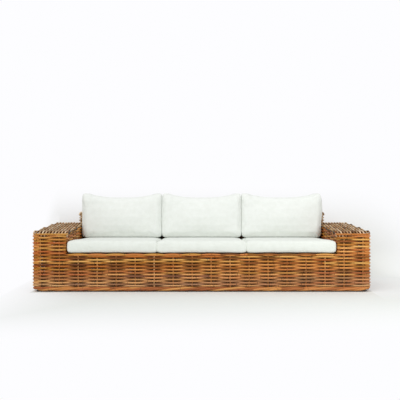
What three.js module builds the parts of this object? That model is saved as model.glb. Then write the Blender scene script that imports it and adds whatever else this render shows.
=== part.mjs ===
// A three-seat woven rattan garden sofa, in millimetres, +Z up, front towards -Y.
// The origin is on the floor under the middle of the sofa.
import * as THREE from "three";
import { mergeVertices } from "three/addons/utils/BufferGeometryUtils.js";

// Overall sizes
const overallWidth = 2800;
const overallDepth = 956;
const armWidth = 291;
const armFrontHeight = 492;
const armRise = 43; // how much higher an arm is at its rear
const rimHeight = 312; // top of the front wall, under the seat cushions
const backHeight = 637;
const backWidth = 2350;
const backThickness = 111; // at the seat
const backLean = 8; // how much thinner the back is at its cap
const cornerRadius = 45; // of the body, seen from above
const armInnerRadius = 26;
const edgeRadius = 25; // where the strands bend over the ends of an arm top
const capRadius = 40; // upper corners of the back

// Weave
const strand = 12.5; // one rattan pole
const stake = 12; // upright that the strands pass in front of and behind
const wall = stake + 2 * strand;
const stakePitch = 157;
const coursePitch = 13.8;
const crownShare = 0.6; // share of a course's height that its round crown takes up
const wallTuck = 20; // how deep a strand lies where it passes behind a stake
const wallGroove = 15; // depth of the groove between two courses
const topTuck = 10; // the same depth as wallTuck where the strands lie flatter: arm tops, cap and deck

// Border poles, frame poles and glides
const groundClearance = 10;
const borderDiameter = 32;
const poleDiameter = 28;
const poleSides = 10;
const bendRadius = 26; // centre line of a bent arm rail
const glideRadius = 22;
const glideChamfer = 3;
const glideSides = 12;
const bendSteps = 3;
const borderRun = 30; // straight run of a border pole past the corner
const touch = 0.3; // clearance between pieces that touch

// Seat deck
const deckHeight = 330; // top of the deck at the front face
const rake = THREE.MathUtils.degToRad(2.4); // the deck falls towards the back
const deckThickness = 16;
const bandWidth = 42; // cane webbing band
const bearerPlaces = 5;
const bearerPitch = 370;

// Cushions
const cushionsInRow = 3;
const cushionGap = 0.6; // between neighbours at their fullest
const seatDepth = 838;
const seatClearance = 7.4; // between a seat cushion and the back
const seatThickness = 103;
const seatCrown = 2;
const seatDrawIn = 5;
const seatEdge = 27;
const backTall = 372;
const backEars = 62; // how far the upper corners are drawn up
const backCrown = 24;
const backDrawIn = 7;
const backEdge = 58;
const backTilt = THREE.MathUtils.degToRad(7);
const backRoom = 211.7; // from the foot of a back cushion's face to the back

// Worked out from the sizes above
const front = -overallDepth / 2;
const rear = overallDepth / 2;
const side = overallWidth / 2;
const armInner = side - armWidth;
const pole = poleDiameter / 2;
const border = borderDiameter / 2;
const borderTop = groundClearance + borderDiameter;
const sideStraight = side - cornerRadius;
const frontStraight = front + cornerRadius;
const wallInset = wall + touch + pole; // from a wall's outer face to the pole behind it
const railLine = front + wallInset;
const rearLine = rear - wallInset;
const sideLine = side - wallInset;
const postLine = railLine + poleDiameter + touch; // posts that stand behind the front rails
const armSlope = armRise / overallDepth;
const armRearHeight = armFrontHeight + armRise;
const backFace = rear - backThickness;
const deckRear = backFace - touch;
const deckSpan = armInner - touch;

const armTopAt = (y) => armFrontHeight + armSlope * (y - front);
const deckAt = (y) => deckHeight - Math.tan(rake) * (y - front);
const underDeckAt = (y) => deckAt(y) - (deckThickness + touch + pole) / Math.cos(rake);

const materials = {
  weave: () => new THREE.MeshStandardMaterial({ color: "#96602e", roughness: 0.55, metalness: 0 }),
  weathered: () => new THREE.MeshStandardMaterial({ color: "#9b8165", roughness: 0.65, metalness: 0 }),
  border: () => new THREE.MeshStandardMaterial({ color: "#ae7040", roughness: 0.5, metalness: 0 }),
  pole: () => new THREE.MeshStandardMaterial({ color: "#b38a58", roughness: 0.6, metalness: 0 }),
  cane: () => new THREE.MeshStandardMaterial({ color: "#a98458", roughness: 0.65, metalness: 0 }),
  cloth: () => new THREE.MeshStandardMaterial({ color: "#ebefeb", roughness: 0.9, metalness: 0 }),
  glide: () => new THREE.MeshStandardMaterial({ color: "#3b3a38", roughness: 0.5, metalness: 0 }),
};

const point = (x, y, z) => new THREE.Vector3(x, y, z);
const plan = (x, y) => new THREE.Vector2(x, y);

const sofa = new THREE.Group();

function addPiece(name, geometry, material) {
  const mesh = new THREE.Mesh(geometry, material);
  mesh.name = name;
  sofa.add(mesh);
  return mesh;
}

// A closed geometry from shared points, with its faces turned outwards.
function closedShell(points, triangles) {
  const geometry = new THREE.BufferGeometry().setFromPoints(points);
  let volume = 0;
  for (const [a, b, c] of triangles) {
    volume += points[a].dot(new THREE.Vector3().crossVectors(points[b], points[c]));
  }
  geometry.setIndex(triangles.flatMap(([a, b, c]) => (volume > 0 ? [a, b, c] : [a, c, b])));
  geometry.computeVertexNormals();
  return geometry;
}

// Woven walls
// Levels up a wall: the middle of each course, or with a groove depth both edges of its crown and
// the grooves above and below it.
function courseLevels(courses, groove) {
  const order = Array.from({ length: courses }, (_, course) => course);
  const level = (course, part) => ({ share: (course + part) / courses, course });
  if (!groove) return [level(0, 0), ...order.map((course) => level(course, 1 / 2)), level(courses - 1, 1)];
  const low = (1 - crownShare) / 2;
  const crowned = order.flatMap((course) => [
    level(course, low), level(course, 1 - low), { ...level(course, 1), course: null },
  ]);
  return [{ share: 0, course: null }, ...crowned];
}

// A woven wall runs through stations. Each station gives an outer point at a share of the wall's
// height and a depth under its face, an inner point at the foot or head of the wall, and the way
// the first course passes there: 1 in front of a stake, -1 behind it, 0 between stakes.
function wovenShell(stations, courses, tuck, groove) {
  const levels = courseLevels(courses, groove);
  const points = [];
  const triangles = [];
  for (const { weave, outer, inner } of stations) {
    for (const { share, course } of levels) {
      const passes = course % 2 ? -weave : weave;
      points.push(outer(share, course === null ? groove : (tuck * (1 - passes)) / 2));
    }
    points.push(inner(0), inner(1));
  }
  const last = levels.length - 1;
  const column = last + 3;
  const quad = (a, b, c, d) => triangles.push([a, b, c], [a, c, d]);
  for (let i = 0; i < stations.length - 1; i += 1) {
    const here = i * column;
    const next = here + column;
    for (let level = 0; level < last; level += 1) {
      quad(here + level, next + level, next + level + 1, here + level + 1);
    }
    const foot = last + 1;
    const head = last + 2;
    quad(next, here, here + foot, next + foot);
    quad(here + last, next + last, next + head, here + head);
    quad(next + foot, here + foot, here + head, next + head);
  }
  for (const [start, turned] of [[0, false], [(stations.length - 1) * column, true]]) {
    const foot = start + last + 1;
    const fan = [];
    for (let level = 0; level < last; level += 1) fan.push([foot, start + level, start + level + 1]);
    fan.push([foot, start + last, foot + 1]);
    triangles.push(...fan.map(([a, b, c]) => (turned ? [a, c, b] : [a, b, c])));
  }
  return closedShell(points, triangles);
}

// Stakes between two places, evenly pitched from the middle of the sofa outwards.
function stakesBetween(low, high) {
  const places = [];
  const first = Math.ceil(low / stakePitch - 1 / 2);
  for (let k = first; (k + 1 / 2) * stakePitch < high - stake; k += 1) {
    const at = (k + 1 / 2) * stakePitch;
    if (at > low + stake) places.push({ at, weave: k % 2 ? -1 : 1 });
  }
  return places;
}

const stopsBetween = (low, high) => [
  { at: low, weave: 0 },
  ...stakesBetween(low, high),
  { at: high, weave: 0 },
];

// One station of an upright wall: plan points outside and inside, and heights of foot and head.
function uprightStation(outside, inside, weave, foot, head) {
  const inward = inside.clone().sub(outside).normalize();
  const at = (place, height) => point(place.x, place.y, height);
  return {
    weave,
    outer: (share, depth) => at(outside.clone().addScaledVector(inward, depth), foot + (head - foot) * share),
    inner: (share) => at(inside, share ? head : foot),
  };
}

// Stations round a corner of the body. The wall's inner side keeps a square corner for the post.
function cornerStations(centre, startAngle, turn, foot, head) {
  return [0, 1, 2].map((step) => {
    const angle = startAngle + (turn * step) / 2;
    const way = plan(Math.cos(angle), Math.sin(angle));
    const square = 1 / Math.max(Math.abs(way.x), Math.abs(way.y));
    const outside = centre.clone().addScaledVector(way, cornerRadius);
    const inside = centre.clone().addScaledVector(way, (cornerRadius - wall) * square);
    return uprightStation(outside, inside, step === 1 ? 1 : 0, foot, head);
  });
}

const coursesIn = (foot, head) => Math.round((head - foot) / coursePitch);

// A wall right across the front or back, with both corners of the body.
function crossWall(facing, foot, head, groove) {
  const face = facing * rear;
  const cornerLine = facing * -frontStraight;
  const quarter = facing * (Math.PI / 2);
  const stations = [
    ...cornerStations(plan(-sideStraight, cornerLine), Math.PI, -quarter, foot, head),
    ...stakesBetween(-sideStraight, sideStraight).map(({ at, weave }) =>
      uprightStation(plan(at, face), plan(at, face - facing * wall), weave, foot, head)),
    ...cornerStations(plan(sideStraight, cornerLine), quarter, -quarter, foot, head),
  ];
  return wovenShell(stations, coursesIn(foot, head), wallTuck, groove);
}

// A flat wall along X or along Y, with a foot and a head that may slope.
function flatWall(low, high, place, footAt, headAt) {
  const stations = stopsBetween(low, high).map(({ at, weave }) => {
    const { outside, inside } = place(at);
    return uprightStation(outside, inside, weave, footAt(at), headAt(at));
  });
  return wovenShell(stations, coursesIn(footAt(high), headAt(high)), wallTuck, 0);
}

const underArmTop = (y) => armTopAt(y) - wall - touch;

const backWallHead = underArmTop(-frontStraight);

addPiece("front_weave", crossWall(-1, borderTop, rimHeight, wallGroove), materials.weave());
addPiece("back_weave", crossWall(1, borderTop, backWallHead, 0), materials.weave());

for (const [name, hand] of [["left", -1], ["right", 1]]) {
  const sideWall = flatWall(
    frontStraight + touch, -frontStraight - touch,
    (y) => ({ outside: plan(hand * side, y), inside: plan(hand * (side - wall), y) }),
    () => borderTop, underArmTop,
  );
  addPiece(`${name}_side_weave`, sideWall, materials.weave());

  // The front of an arm turns round the corner post outside and a smaller post inside.
  const armFoot = rimHeight + touch;
  const armHead = underArmTop(front);
  const innerTurn = armInner + armInnerRadius;
  const roundInner = [0, 1, 2].map((step) => {
    const angle = (step * Math.PI) / 4;
    const across = innerTurn - armInnerRadius * Math.sin(angle);
    const outside = plan(hand * across, front + armInnerRadius * (1 - Math.cos(angle)));
    const inside = plan(outside.x, front + wall);
    return uprightStation(outside, inside, step === 1 ? 1 : 0, armFoot, armHead);
  });
  const armStakes = stakesBetween(innerTurn, sideStraight).map(({ at, weave }) =>
    uprightStation(plan(hand * at, front), plan(hand * at, front + wall), weave, armFoot, armHead));
  const outerTurn = cornerStations(
    plan(hand * sideStraight, frontStraight), -Math.PI / 2, hand * (Math.PI / 2), armFoot, armHead,
  );
  const armFront = [...roundInner.reverse(), ...armStakes, ...outerTurn];
  const armFrontWall = wovenShell(armFront, coursesIn(armFoot, armHead), wallTuck, wallGroove);
  addPiece(`${name}_arm_front_weave`, armFrontWall, materials.weave());

  const armInside = flatWall(
    front + wall + touch, rear - wall - touch,
    (y) => ({ outside: plan(hand * armInner, y), inside: plan(hand * (armInner + wall), y) }),
    (y) => deckAt(y) - deckThickness, underArmTop,
  );
  addPiece(`${name}_arm_inner_weave`, armInside, materials.weave());

  // Arm tops: the strands run from front to back and bend down over both ends.
  const outerEdgeAt = (y) => {
    const past = Math.max(0, Math.abs(y) - (rear - cornerRadius));
    return sideStraight + Math.sqrt(cornerRadius ** 2 - Math.min(past, cornerRadius) ** 2);
  };
  const lip = [Math.PI, (3 * Math.PI) / 4, Math.PI / 2];
  const lipStop = (end, angle) => ({
    y: end * (rear - edgeRadius - edgeRadius * Math.cos(angle)),
    drop: edgeRadius * (1 - Math.sin(angle)),
    way: plan(-end * Math.abs(Math.cos(angle)), -Math.sin(angle)),
    weave: 0,
  });
  const flatStop = (y, weave) => ({ y, drop: 0, way: plan(0, -1), weave });
  const stops = [
    ...lip.map((angle) => lipStop(-1, angle)),
    ...stakesBetween(frontStraight, -frontStraight).map(({ at, weave }) => flatStop(at, weave)),
    ...lip.map((angle) => lipStop(1, angle)).reverse(),
  ];
  const armTop = stops.map(({ y, drop, way, weave }) => {
    const across = (share) => hand * (armInner + (outerEdgeAt(y) - armInner) * share);
    return {
      weave,
      outer: (share, depth) => point(across(share), y + way.x * depth, armTopAt(y) - drop + way.y * depth),
      inner: (share) => point(across(share), y, armTopAt(y) - wall),
    };
  });
  const armCourses = Math.round(armWidth / coursePitch);
  addPiece(`${name}_arm_top_weave`, wovenShell(armTop, armCourses, topTuck, 0), materials.weathered());
}

// Back
// The face leans back a little, so its foot lies further forward than its head.
const backHead = backHeight - wall - touch;
const faceFoot = underDeckAt(deckRear) - pole;
const faceLevel = (share) => faceFoot + (backHead - faceFoot) * share;
const faceAt = (share) => backFace + backLean * share;
const faceStations = stopsBetween(-deckSpan, deckSpan).map(({ at, weave }) => ({
  weave,
  outer: (share, depth) => point(at, faceAt(share) + depth, faceLevel(share)),
  inner: (share) => point(at, faceAt(share) + wall, faceLevel(share)),
}));
const backFaceWall = wovenShell(faceStations, coursesIn(faceFoot, backHead), wallTuck, 0);
addPiece("back_face_weave", backFaceWall, materials.weave());

const upperBack = flatWall(
  -deckSpan, deckSpan,
  (x) => ({ outside: plan(x, rear), inside: plan(x, rear - wall) }),
  () => backWallHead + touch, () => backHead,
);
addPiece("back_upper_weave", upperBack, materials.weave());

// The cap goes up from one arm top, round both upper corners and down to the other arm top.
const capFront = faceAt(1);
const capHalf = backWidth / 2;
const capFoot = armRearHeight + touch;
const capInside = backHeight - wall;
const capArch = [-1, 1].map((hand) => {
  const legFoot = {
    outside: plan(hand * capHalf, capFoot),
    inside: plan(hand * armInner, capFoot),
    way: plan(-hand, 0),
    weave: 0,
  };
  const turn = [0, 1, 2, 3].map((step) => {
    const angle = (step * Math.PI) / 6;
    const out = plan(hand * Math.cos(angle), Math.sin(angle));
    const centre = plan(hand * (capHalf - capRadius), backHeight - capRadius);
    const outside = centre.addScaledVector(out, capRadius);
    const inside = plan(hand * armInner, capInside - ((2 - step) * capRadius) / 3);
    if (step === 3) inside.set(hand * (armInner - strand), capInside);
    return { outside, inside, way: out.negate(), weave: 0 };
  });
  return hand < 0 ? [legFoot, ...turn] : [...turn.reverse(), legFoot];
});
const capStakes = stakesBetween(strand - armInner, armInner - strand).map(({ at, weave }) => (
  { outside: plan(at, backHeight), inside: plan(at, capInside), way: plan(0, -1), weave }));
const capStations = [...capArch[0], ...capStakes, ...capArch[1]].map(({ outside, inside, way, weave }) => {
  const depthwise = (share) => capFront + (rear - capFront) * share;
  return {
    weave,
    outer: (share, depth) => point(outside.x + way.x * depth, depthwise(share), outside.y + way.y * depth),
    inner: (share) => point(inside.x, depthwise(share), inside.y),
  };
});
const capCourses = Math.round((rear - capFront) / coursePitch);
addPiece("back_cap_weave", wovenShell(capStations, capCourses, topTuck, 0), materials.weathered());

// Seat deck: cane webbing bands, woven from arm to arm over the bearers.
const deckFront = front + wall + touch;
const deckStations = stopsBetween(-deckSpan, deckSpan).map(({ at, weave }) => {
  const along = (share) => deckFront + (deckRear - deckFront) * share;
  const bandDip = (depth) => (depth * deckThickness) / wall;
  return {
    weave,
    outer: (share, depth) => point(at, along(share), deckAt(along(share)) - bandDip(depth)),
    inner: (share) => point(at, along(share), deckAt(along(share)) - deckThickness),
  };
});
const deckBands = Math.round((deckRear - deckFront) / bandWidth);
addPiece("seat_deck", wovenShell(deckStations, deckBands, topTuck, 0), materials.cane());

// Poles
// A straight pole between two points.
function addPole(name, from, to) {
  const length = from.distanceTo(to);
  const mesh = addPiece(name, new THREE.CylinderGeometry(pole, pole, length, poleSides), materials.pole());
  mesh.position.lerpVectors(from, to, 1 / 2);
  mesh.quaternion.setFromUnitVectors(new THREE.Vector3(0, 1, 0), to.clone().sub(from).normalize());
}

// A bent pole's centre line: straight between its knots, with one ring of the pole at each knot.
class KnotLine extends THREE.Curve {
  constructor(knots) {
    super();
    this.knots = knots;
  }
  getUtoTmapping(u) {
    return u;
  }
  getPoint(t, target = new THREE.Vector3()) {
    const last = this.knots.length - 2;
    const place = THREE.MathUtils.clamp(t, 0, 1) * (last + 1);
    const i = Math.min(Math.floor(place), last);
    return target.lerpVectors(this.knots[i], this.knots[i + 1], place - i);
  }
}

function bentPole(knots, radius) {
  const section = new THREE.Shape(new THREE.Path().absarc(0, 0, radius, 0, 2 * Math.PI)
    .getSpacedPoints(poleSides).slice(0, poleSides));
  const options = { steps: knots.length - 1, extrudePath: new KnotLine(knots) };
  const geometry = new THREE.ExtrudeGeometry(section, options);
  geometry.deleteAttribute("normal");
  geometry.deleteAttribute("uv");
  return mergeVertices(geometry, touch / 100);
}

// Knots round a bend in plan, from one angle through a turn.
function bendKnots(centre, radius, startAngle, turn, heightAt) {
  return Array.from({ length: bendSteps + 1 }, (_, step) => {
    const angle = startAngle + (turn * step) / bendSteps;
    const y = centre.y + radius * Math.sin(angle);
    return point(centre.x + radius * Math.cos(angle), y, heightAt(y));
  });
}

// Border poles round the foot
const borderLine = () => groundClearance + border - touch;
const borderBend = cornerRadius - border;
for (const [name, facing] of [["front", -1], ["back", 1]]) {
  const cornerLine = facing * -frontStraight;
  const quarter = facing * (Math.PI / 2);
  const runEnd = cornerLine - facing * borderRun;
  const knots = [
    point(border - side, runEnd, borderLine()),
    ...bendKnots(plan(-sideStraight, cornerLine), borderBend, Math.PI, -quarter, borderLine),
    ...bendKnots(plan(sideStraight, cornerLine), borderBend, quarter, -quarter, borderLine),
    point(side - border, runEnd, borderLine()),
  ];
  addPiece(`${name}_border`, bentPole(knots, border), materials.border());
}
for (const [name, hand] of [["left", -1], ["right", 1]]) {
  const x = hand * (side - border);
  const start = frontStraight + borderRun + touch;
  const knots = [point(x, start, borderLine()), point(x, -start, borderLine())];
  addPiece(`${name}_border`, bentPole(knots, border), materials.border());
}

// Frame
const lowRail = groundClearance + pole;
const postSpan = pole + touch;
const frontSeatRail = underDeckAt(railLine);
const backSeatLine = backFace - touch - pole;
const backSeatRail = underDeckAt(backSeatLine);
const armRailDrop = wall + touch + pole;
const armRailAt = (y) => armTopAt(y) - armRailDrop;
const armRailUnder = (y) => armRailAt(y - pole) - pole - touch;
const armPostLine = armInner + wall + touch + pole;
const sideSeatLine = armInner - touch - pole;
const capRail = backHead - touch - pole;
const onLowRail = lowRail + postSpan;
const underCapRail = capRail - postSpan;

// A pole under the deck, from the front seat rail to the back one.
function addBearer(name, x) {
  const start = railLine + postSpan;
  const end = backSeatLine - postSpan;
  addPole(name, point(x, start, underDeckAt(start)), point(x, end, underDeckAt(end)));
}

addPole("front_lower_rail",
  point(-sideLine + postSpan, railLine, lowRail), point(sideLine - postSpan, railLine, lowRail));
addPole("back_lower_rail",
  point(-sideLine + postSpan, rearLine, lowRail), point(sideLine - postSpan, rearLine, lowRail));
addPole("front_seat_rail",
  point(-sideLine + postSpan, railLine, frontSeatRail), point(sideLine - postSpan, railLine, frontSeatRail));
addPole("back_seat_rail",
  point(-deckSpan, backSeatLine, backSeatRail), point(deckSpan, backSeatLine, backSeatRail));

for (const [name, hand] of [["left", -1], ["right", 1]]) {
  const edge = hand * sideLine;
  addPole(`${name}_lower_rail`,
    point(edge, railLine + postSpan, lowRail), point(edge, rearLine - postSpan, lowRail));
  addPole(`front_${name}_post`,
    point(edge, railLine, groundClearance), point(edge, railLine, armRailUnder(railLine)));
  addPole(`rear_${name}_post`,
    point(edge, rearLine, groundClearance), point(edge, rearLine, armRailUnder(rearLine)));

  const armPost = hand * armPostLine;
  const armPostRear = rearLine - poleDiameter - touch;
  addPole(`${name}_arm_front_post`,
    point(armPost, postLine, groundClearance), point(armPost, postLine, armRailUnder(postLine)));
  addPole(`${name}_arm_rear_post`,
    point(armPost, armPostRear, groundClearance), point(armPost, armPostRear, armRailUnder(armPostRear)));

  // The arm rail is one pole, bent round the front of the arm.
  const bendLine = railLine + bendRadius;
  const turn = hand * (Math.PI / 2);
  const from = hand < 0 ? 0 : Math.PI;
  const armRail = [
    point(armPost, rearLine, armRailAt(rearLine)),
    ...bendKnots(plan(armPost + hand * bendRadius, bendLine), bendRadius, from, turn, armRailAt),
    ...bendKnots(plan(edge - hand * bendRadius, bendLine), bendRadius, -Math.PI / 2, turn, armRailAt),
    point(edge, rearLine, armRailAt(rearLine)),
  ];
  addPiece(`${name}_arm_rail`, bentPole(armRail, pole), materials.pole());

  const backPost = hand * sideSeatLine;
  addPole(`${name}_back_post`, point(backPost, rearLine, onLowRail), point(backPost, rearLine, underCapRail));
  addBearer(`${name}_seat_rail`, backPost);
}

addPole("back_top_rail", point(-deckSpan, rearLine, capRail), point(deckSpan, rearLine, capRail));
addPole("back_middle_post", point(0, rearLine, onLowRail), point(0, rearLine, underCapRail));
addPole("front_middle_post",
  point(0, postLine, groundClearance), point(0, postLine, underDeckAt(postLine + pole) - postSpan));

for (let i = 0; i < bearerPlaces; i += 1) {
  addBearer(`bearer_${i + 1}`, (i - (bearerPlaces - 1) / 2) * bearerPitch);
}

// Glides under the corner posts and the middle posts
const glideProfile = [
  plan(0, 0), plan(glideRadius - glideChamfer, 0), plan(glideRadius, glideChamfer),
  plan(glideRadius, groundClearance - touch), plan(0, groundClearance - touch),
];
const glidePlaces = {
  front_left: [-sideLine, railLine], front_middle: [0, postLine], front_right: [sideLine, railLine],
  rear_left: [-sideLine, rearLine], rear_middle: [0, rearLine], rear_right: [sideLine, rearLine],
};
for (const [name, [x, y]] of Object.entries(glidePlaces)) {
  const geometry = new THREE.LatheGeometry(glideProfile, glideSides).rotateX(Math.PI / 2);
  addPiece(`glide_${name}`, geometry, materials.glide()).position.set(x, y, 0);
}

// Cushions
// How full a cushion is at a place, from 1 in its middle to 0 where its rounded edge begins.
function fullness(value, half, edge) {
  const inner = half - edge;
  return Math.abs(value) < inner ? 1 - (value / inner) ** 2 : 0;
}

// A stuffed cushion about its own middle: a crowned face, full side walls that draw in between the
// corners, rounded edges, corners that may stand up as ears, and a lean towards the back.
function cushionShape({ width, depth, height, steps, edge, topCrown, faceCrown, drawIn, ears, lean }) {
  const box = new THREE.BoxGeometry(2, 2, 2, steps.x, steps.y, steps.z);
  box.deleteAttribute("normal");
  box.deleteAttribute("uv");
  const geometry = mergeVertices(box);
  const half = point(width, depth, height).multiplyScalar(1 / 2);
  const limit = half.clone().subScalar(edge);
  const lowLimit = limit.clone().negate();
  const places = geometry.getAttribute("position");
  const p = point(0, 0, 0);
  const core = point(0, 0, 0);
  for (let i = 0; i < places.count; i += 1) {
    p.fromBufferAttribute(places, i);
    // Grid lines crowd towards the edges, where the surface turns.
    for (const axis of ["x", "y", "z"]) p[axis] = Math.sin((p[axis] * Math.PI) / 2) * half[axis];
    core.copy(p).clamp(lowLimit, limit);
    p.sub(core).setLength(edge).add(core);
    const fullX = fullness(p.x, half.x, edge);
    const fullY = fullness(p.y, half.y, edge);
    const fullZ = fullness(p.z, half.z, edge);
    const up = Math.max(0, p.z / half.z);
    const ahead = Math.max(0, -p.y / half.y);
    const aside = p.x / half.x;
    p.x -= drawIn * aside * (1 - fullZ) * fullY;
    p.y += drawIn * ahead * (1 - fullZ) * fullX - faceCrown * ahead * fullX * fullZ;
    p.z += topCrown * up * fullX * fullY + ears * up ** 2 * aside ** 4;
    p.y += Math.tan(lean) * (p.z + half.z);
    places.setXYZ(i, p.x, p.y, p.z);
  }
  geometry.computeVertexNormals();
  return geometry;
}

const slot = (2 * armInner - (cushionsInRow + 1) * cushionGap) / cushionsInRow;
const slotPitch = slot + cushionGap;
const deckRun = (backFace - front) / Math.cos(rake); // along the deck, from the front face to the back
const seatMiddle = deckRun - seatClearance - seatDepth / 2;
const backFoot = deckRun - backRoom;
const seatTopAt = (run) =>
  seatThickness + seatCrown * fullness(run - seatMiddle, seatDepth / 2, seatEdge);
const backStand = seatTopAt(backFoot + backEdge) + 2 * touch; // foot of a back cushion above the deck
const footLine = front + backFoot * Math.cos(rake) + backStand * Math.sin(rake);
const footHeight = deckHeight - backFoot * Math.sin(rake) + backStand * Math.cos(rake);
const backReach = capFront - touch - footLine;
const capRise = backHeight - footHeight + backReach * Math.sin(rake);
const backThick = (backReach - capRise * Math.tan(backTilt)) * Math.cos(rake);

const seatShape = cushionShape({
  width: slot, depth: seatDepth, height: seatThickness, steps: { x: 12, y: 12, z: 4 },
  edge: seatEdge, topCrown: seatCrown, faceCrown: 0, drawIn: seatDrawIn, ears: 0, lean: 0,
});
const backShape = cushionShape({
  width: slot, depth: backThick, height: backTall, steps: { x: 12, y: 6, z: 8 },
  edge: backEdge, topCrown: 0, faceCrown: backCrown, drawIn: backDrawIn, ears: backEars,
  lean: backTilt - rake,
});

["left", "middle", "right"].forEach((name, i) => {
  const row = new THREE.Group();
  row.position.set((i - (cushionsInRow - 1) / 2) * slotPitch, front, deckHeight);
  row.rotation.x = -rake;
  sofa.add(row);

  const seat = addPiece(`${name}_seat_cushion`, seatShape.clone(), materials.cloth());
  seat.position.set(0, seatMiddle, seatThickness / 2 + touch);
  row.add(seat);

  // A back cushion stands on the seat cushion and leans on the cap.
  const back = addPiece(`${name}_back_cushion`, backShape.clone(), materials.cloth());
  back.position.set(0, backFoot + backThick / 2, backStand + backTall / 2);
  row.add(back);
});

export default sofa;
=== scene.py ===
import random
from bisect import bisect_right
from contextlib import contextmanager
from math import ceil, copysign, cos, exp, floor, pi, radians, sin, sqrt, tanh, tau

import bmesh
import bpy
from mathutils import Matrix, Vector, bvhtree, noise


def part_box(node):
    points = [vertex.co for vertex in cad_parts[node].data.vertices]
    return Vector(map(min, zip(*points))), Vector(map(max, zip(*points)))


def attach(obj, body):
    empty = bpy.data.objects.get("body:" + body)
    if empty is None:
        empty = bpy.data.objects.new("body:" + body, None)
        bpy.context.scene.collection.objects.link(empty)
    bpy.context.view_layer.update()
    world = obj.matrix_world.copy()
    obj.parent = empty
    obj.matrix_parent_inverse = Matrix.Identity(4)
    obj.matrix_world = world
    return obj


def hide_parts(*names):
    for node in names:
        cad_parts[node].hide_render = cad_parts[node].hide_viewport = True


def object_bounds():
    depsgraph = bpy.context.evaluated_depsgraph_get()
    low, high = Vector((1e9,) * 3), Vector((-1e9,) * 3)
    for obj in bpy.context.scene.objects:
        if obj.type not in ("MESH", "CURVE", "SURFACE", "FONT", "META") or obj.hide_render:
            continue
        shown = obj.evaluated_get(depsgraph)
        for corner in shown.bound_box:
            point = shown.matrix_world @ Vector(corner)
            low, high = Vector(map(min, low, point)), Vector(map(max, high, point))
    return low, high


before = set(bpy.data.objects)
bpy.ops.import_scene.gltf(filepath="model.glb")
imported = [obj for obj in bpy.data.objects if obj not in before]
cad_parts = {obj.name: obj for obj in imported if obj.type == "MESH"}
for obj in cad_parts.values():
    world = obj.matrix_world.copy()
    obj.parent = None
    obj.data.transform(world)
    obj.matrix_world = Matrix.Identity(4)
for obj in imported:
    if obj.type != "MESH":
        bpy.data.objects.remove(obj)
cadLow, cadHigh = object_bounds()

# Rattan garden sofa: woven body, poles, webbing deck, glides and stuffed cushions.
# Metres, +Z up, front towards -Y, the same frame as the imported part.

mm = 0.001  # one millimetre


def say(stage):
    print("sofa:", stage)


def addObject(name, data):
    made = bpy.data.objects.new(name, data)
    bpy.context.scene.collection.objects.link(made)
    return made


def settled(source):
    # the mesh that an object's curve or modifiers come to
    bpy.context.view_layer.update()
    return bpy.data.meshes.new_from_object(source.evaluated_get(bpy.context.evaluated_depsgraph_get()))


@contextmanager
def editing(mesh):
    bm = bmesh.new()
    bm.from_mesh(mesh)
    yield bm
    bm.to_mesh(mesh)
    bm.free()


# Camera, floor and light

cameraSettings = {
    "imagePx": 400,
    "focalPx": 670,
    "sensorMm": 36,
    "axisPx": (201.6, 190),  # where the level axis meets the picture
    "distance": 5.523,  # from the sofa's front face
    "height": 0.842,
    "farthest": 60,
}


def makeCamera(settings):
    camera = addObject("camera", bpy.data.cameras.new("camera"))
    size = settings["imagePx"]
    camera.data.sensor_width = settings["sensorMm"]
    camera.data.lens = settings["sensorMm"] * settings["focalPx"] / size
    camera.data.shift_x = (size / 2 - settings["axisPx"][0]) / size
    camera.data.shift_y = (settings["axisPx"][1] - size / 2) / size
    camera.data.clip_end = settings["farthest"]
    camera.location = (0, cadLow.y - settings["distance"], settings["height"])
    camera.rotation_euler = (radians(90), 0, 0)
    bpy.context.scene.camera = camera


makeCamera(cameraSettings)


def linear(hexColour):
    # sRGB hex to linear
    values = [int(hexColour[i:i + 2], 16) / 255 for i in (1, 3, 5)]
    return tuple(v / 12.92 if v <= 0.04045 else ((v + 0.055) / 1.055) ** 2.4 for v in values) + (1,)


def newMaterial(name, fixed):
    # fixed holds the values that are the same all over the surface
    material = bpy.data.materials.new(name)
    material.use_nodes = True
    tree = material.node_tree
    tree.nodes.clear()
    output = tree.nodes.new("ShaderNodeOutputMaterial")
    shader = tree.nodes.new("ShaderNodeBsdfPrincipled")
    tree.links.new(shader.outputs["BSDF"], output.inputs["Surface"])
    for socket, value in fixed.items():
        shader.inputs[socket].default_value = value
    return material, tree, shader


def node(tree, kind, settings=None, links=None):
    # Adds a node, sets its properties or input values, and links its inputs
    made = tree.nodes.new(kind)
    for key, value in (settings or {}).items():
        if isinstance(key, str) and hasattr(made, key):
            setattr(made, key, value)
        else:
            made.inputs[key].default_value = value
    for key, source in (links or {}).items():
        tree.links.new(source, made.inputs[key])
    return made


def calc(tree, how, *values, kind="ShaderNodeMath"):
    # a Math node over sockets and plain values
    links = {i: value for i, value in enumerate(values) if isinstance(value, bpy.types.NodeSocket)}
    plain = {i: value for i, value in enumerate(values) if i not in links}
    made = node(tree, kind, {"operation": how, **plain}, links)
    return made.outputs["Value" if how == "LENGTH" else 0]


def vectorCalc(tree, how, *values):
    return calc(tree, how, *values, kind="ShaderNodeVectorMath")


def spread(tree, source, settings):
    return node(tree, "ShaderNodeMapRange", settings, {"Value": source}).outputs["Result"]


def smoothStep(tree, source, start, end, most=1.0):
    return spread(tree, source, {
        "interpolation_type": "SMOOTHSTEP", "From Min": start, "From Max": end, "To Max": most})


def tint(tree, share, one, other):
    # other is a colour's socket or a hex colour
    made = node(tree, "ShaderNodeMix", {"data_type": "RGBA"}, {0: share, 6: one})
    if isinstance(other, str):
        made.inputs[7].default_value = linear(other)
    else:
        tree.links.new(other, made.inputs[7])
    return made.outputs[2]


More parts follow.
